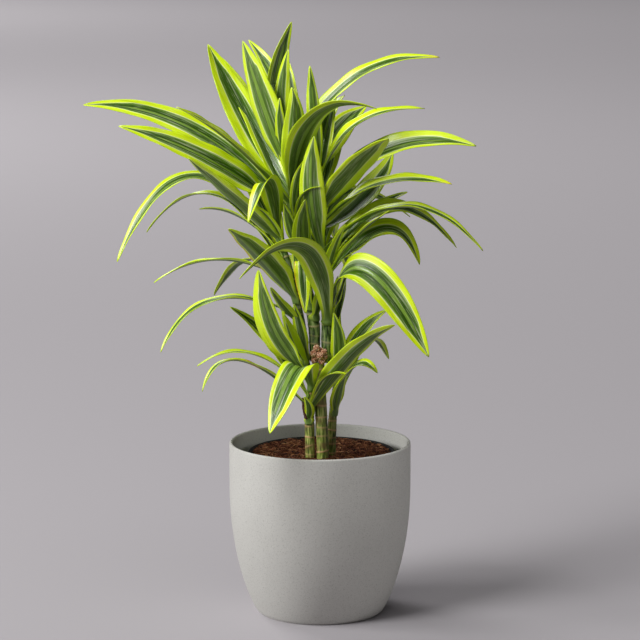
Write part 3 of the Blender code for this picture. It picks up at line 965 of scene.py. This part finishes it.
# young and inner blades are lime nearly all the way across
limeLeaves = {
    "right_shoot_leaf_2": 0.16, "right_shoot_leaf_7": 0.12, "left_shoot_leaf_7": 0.2,
    "left_shoot_leaf_5": 0.2, "left_shoot_small_leaf_3": 0.35, "left_shoot_small_leaf_5": 0.3,
    "left_cane_small_leaf_3": 0.3, "middle_shoot_small_leaf_9": 0.2, "right_shoot_small_leaf_5": 0.2,
}

# where a blade has aged: (which part, how much)
leafMarks = {
    "left_shoot_leaf_9": ("rightEdge", 0.55), "middle_shoot_leaf_16": ("rightEdge", 0.5),
    "left_cane_leaf_5": ("patch", 1.0), "left_shoot_leaf_1": ("rightEdge", 0.35),
    "right_shoot_leaf_6": ("tip", 0.3), "middle_shoot_leaf_2": ("tip", 0.3),
}

# one margin wider than the other: how far the dark middle moves across
leafSkews = {
    "left_cane_leaf_1": -0.42, "right_shoot_leaf_5": 0.42, "left_cane_leaf_2": 0.25,
    "right_cane_leaf_2": -0.3,
}


def leafMaterial(name, underside):
    # Dracaena leaf: thick waxed skin, so a soft broad gloss; lime margins, a pale line, a dark middle.
    made, node = newMaterial(name)
    across, along, shift, aged = (node("Attribute", {"attribute_name": title}, out="Fac")
                                  for title in ("across", "along", "shift", "aged"))
    bladeMm = node("Attribute", {"attribute_name": "bladeMm"}, out="Vector")
    drawn = node("VectorMath", {"operation": "MULTIPLY", 1: skin["drawnOut"]}, {0: bladeMm})
    drift = node("TexNoise", {"Scale": skin["driftPerMm"], "Detail": 2}, {"Vector": drawn})
    streaks = node("TexNoise", {"Scale": skin["streaksPerMm"], "Detail": 3}, {"Vector": drawn})
    hairs = node("TexNoise", {"Scale": skin["hairsPerMm"], "Detail": 2}, {"Vector": drawn})
    # the place across: 0 on the midrib and 1 on the margin, wandering a little and moved outward at the tip
    wander = skin["drift"]
    drifted = node("MapRange", {"To Min": -wander, "To Max": wander}, {"Value": drift})
    tipGlow = node("MapRange", {"From Min": 0.8, "To Max": 0.45}, {"Value": along})
    band = node("Math", {"operation": "ABSOLUTE"}, {0: across})
    for part in (shift, drifted, tipGlow):
        band = node("Math", {"operation": "ADD"}, {0: band, 1: part})
    colour = node("ValToRGB", {"stops": skin["bands"]}, {"Fac": band})
    middle = node("ValToRGB", {"stops": skin["streaked"]}, {"Fac": band})
    drivers = {"streaks": streaks, "hairs": hairs, "along": along}
    for layer, (driver, start, end, first, last, tint) in enumerate(skin["layers"]):
        factor = node("MapRange", {"From Min": start, "From Max": end, "To Min": first, "To Max": last},
                      {"Value": drivers[driver]})
        if layer == 0:
            factor = node("Math", {"operation": "MULTIPLY"}, {0: middle, 1: factor})
        colour = node("Mix", {"data_type": "RGBA", 7: tint}, {0: factor, 6: colour}, 2)
    burn = node("ValToRGB", {"stops": skin["ageing"]}, {"Fac": aged})
    agedAmount = node("MapRange", {"From Min": 0.1, "From Max": 0.5}, {"Value": aged})
    colour = node("Mix", {"data_type": "RGBA"}, {0: agedAmount, 6: colour, 7: burn}, 2)
    if underside:
        # the under skin is duller in the middle and keeps its lime margins
        middle = node("ValToRGB", {"stops": skin["duller"]}, {"Fac": band})
        dull = node("Math", {"operation": "MULTIPLY", 1: 0.2}, {0: middle})
        colour = node("Mix", {"data_type": "RGBA", 7: skin["under"]}, {0: dull, 6: colour}, 2)
    lateral = node("SeparateXYZ", links={"Vector": bladeMm}, out="X")
    phase = node("Math", {"operation": "MULTIPLY", 1: math.tau / skin["veinSpacing"]}, {0: lateral})
    veins = node("Math", {"operation": "SINE"}, {0: phase})
    height = node("Math", {"operation": "MULTIPLY_ADD", 1: skin["veinHeight"]}, {0: veins, 2: streaks})
    bump = node("Bump", {"Strength": 0.35, "Distance": 0.25 * mm}, {"Height": height})
    smoothest, roughest = skin["underRough" if underside else "upperRough"]
    rough = node("MapRange", {"To Min": smoothest, "To Max": roughest}, {"Value": streaks})
    shader = node("BsdfPrincipled",
                  {"IOR": 1.45, "Specular IOR Level": 0.55, "Subsurface Weight": 0.06,
                   "Subsurface Radius": (0.8, 1.0, 0.15), "Subsurface Scale": 1.5 * mm},
                  {"Base Color": colour, "Roughness": rough, "Normal": bump})
    node("OutputMaterial", links={"Surface": shader})
    return made


def bladePath(stem, height, side, bend, tip, bendWeight):
    # up the sheath, then one curve from the stem past the bend point to the tip
    outward = Vector((math.cos(math.radians(side)), math.sin(math.radians(side)), 0))
    centre, radius = stemAt(stem, height)
    start = centre + outward * (radius + blade["clearance"])
    elbow = (8 * Vector(bend) - (4 - 3 * bendWeight) * (start + Vector(tip))) / (6 * bendWeight)
    first = start.lerp(elbow, bendWeight)
    second = Vector(tip).lerp(elbow, bendWeight)
    footCentre, footRadius = stemAt(stem, height - blade["sheathLength"])
    path = [footCentre + outward * (footRadius + blade["clearance"])]
    for i in range(blade["curveSteps"] + 1):
        t = i / blade["curveSteps"]
        path.append(start * (1 - t) ** 3 + first * 3 * t * (1 - t) ** 2 + second * 3 * t * t * (1 - t)
                    + Vector(tip) * t ** 3)
    return path, outward, radius


def evenStations(path, count):
    # evenly spaced along the path: the point, its share of the length and its distance from the foot
    lengths = [0.0]
    for low, high in zip(path, path[1:]):
        lengths.append(lengths[-1] + (high - low).length)
    stations = []
    piece = 0
    for i in range(count):
        wanted = lengths[-1] * i / (count - 1)
        while piece < len(path) - 2 and lengths[piece + 1] < wanted:
            piece += 1
        inside = (wanted - lengths[piece]) / (lengths[piece + 1] - lengths[piece])
        stations.append((path[piece].lerp(path[piece + 1], inside), i / (count - 1), wanted))
    return stations


def bladeHalfWidth(share, width):
    belly = max(math.sin(math.pi * share ** blade["bellyShift"]), 0) ** blade["bellyPower"]
    neck = blade["neck"] + (1 - blade["neck"]) * eased(share, *blade["neckEnds"])
    sheath = blade["sheathHalfWidth"] * (1 - share) ** blade["sheathTaper"]
    return sheath + width / 2 * belly * neck + blade["tipHalfWidth"]


def agedAt(mark, share, u):
    if not mark:
        return 0.0
    kind, amount = mark
    if kind == "tip":
        return amount * eased(share, 0.85, 1)
    if kind == "patch":
        return amount * math.exp(-((share - 0.52) / 0.05) ** 2) * eased(u, 0.6, -0.2)
    return amount * eased(-u, 0.78, 1) * eased(share, 0.15, 0.35)


def makeLeaf(number, materials, name, stem, height, side, bend, tip, width, roll=0,
             bendWeight=blade["softBend"]):
    dice = random.Random(blade["seed"] + number)
    path, outward, stemRadius = bladePath(stem, height, side, bend, tip, bendWeight)
    stations = evenStations(path, blade["stations"])
    level = Vector((-outward.y, outward.x, 0))
    across = level.copy()
    phases = (dice.uniform(0, roundTurn), dice.uniform(0, roundTurn))
    waveLength = dice.uniform(*blade["waveLength"])
    shift = dice.uniform(*blade["marginShift"]) + limeLeaves.get(name, 0)
    skew = leafSkews.get(name, dice.uniform(*blade["skew"]))
    mark = leafMarks.get(name)
    verts, looks, places = [], [], []
    for i, (point, share, reached) in enumerate(stations):
        before = stations[max(i - 1, 0)][0]
        after = stations[min(i + 1, len(stations) - 1)][0]
        along = (after - before).normalized()
        across = (across - along * across.dot(along)).normalized()
        rolled = math.radians(roll) * eased(share, 0, blade["rollEnds"])
        turnedAcross = Matrix.Rotation(rolled, 3, along) @ across
        up = along.cross(turnedAcross)
        clasp = 1 - eased(reached, *blade["claspOpens"])
        sheathHalf = blade["clasp"] * stemRadius * (1 - eased(reached, *blade["sheathNarrows"]))
        least = blade["sheathStart"]
        sheathHalf *= least + (1 - least) * eased(reached, *blade["sheathWidens"])
        half = max(bladeHalfWidth(share, width), sheathHalf)
        opened = eased(share, 0, blade["channelEnds"])
        turnUp = blade["channel"] * opened
        fading = 1 - blade["waveFades"] * share
        wave = blade["waveHeight"] * eased(share, *blade["waveStarts"]) * fading
        wrapRadius = stemRadius + blade["clearance"] + blade["claspLoosens"] * reached
        for u in blade["across"]:
            size = abs(u)
            lift = half * math.sin(turnUp) * size ** blade["channelPower"]
            lift += wave * size * size * math.sin(reached / waveLength * roundTurn + phases[u > 0])
            rib = max(0, 1 - size / blade["midribHalf"])
            lift -= blade["midribDip"] * rib * opened * (1 - share)
            free = point + turnedAcross * u * half * math.cos(turnUp) + up * lift
            angle = u * half / wrapRadius
            reach = outward * (math.cos(angle) - 1) + level * math.sin(angle)
            verts.append(free.lerp(point + reach * wrapRadius, clasp) * mm)
            looks.append((u + skew * (1 - u * u), share, shift, agedAt(mark, share, u)))
            places += (u * half, reached, number * blade["patternStep"])
    wide = len(blade["across"])
    faces = [(i * wide + j, (i + 1) * wide + j, (i + 1) * wide + j + 1, i * wide + j + 1)
             for i in range(len(stations) - 1) for j in range(wide - 1)]
    replaced = None if "small" in name else name
    title = name + "_blade" if replaced else name
    mesh = newMesh(title, verts, faces)
    for key, values in zip(("across", "along", "shift", "aged"), zip(*looks)):
        addAttribute(mesh, key, values)
    addAttribute(mesh, "bladeMm", places, "FLOAT_VECTOR")
    shell = addPiece(title, mesh, materials, "leaf", replaced).modifiers.new("thickness", "SOLIDIFY")
    shell.thickness = blade["thickness"] * mm
    shell.offset = 0
    shell.material_offset = 1


def makeLeaves():
    materials = [leafMaterial("dracaena_leaf_upper", False), leafMaterial("dracaena_leaf_under", True)]
    number = 0
    for title, table in (("leaf", leafRows), ("small_leaf", smallLeafRows)):
        for stem, rows in table.items():
            for place, row in enumerate(rows, 1):
                number += 1
                makeLeaf(number, materials, f"{stem}_{title}_{place}", stem, *row)
    print("leaves ready:", number)


makeLeaves()


print("done")
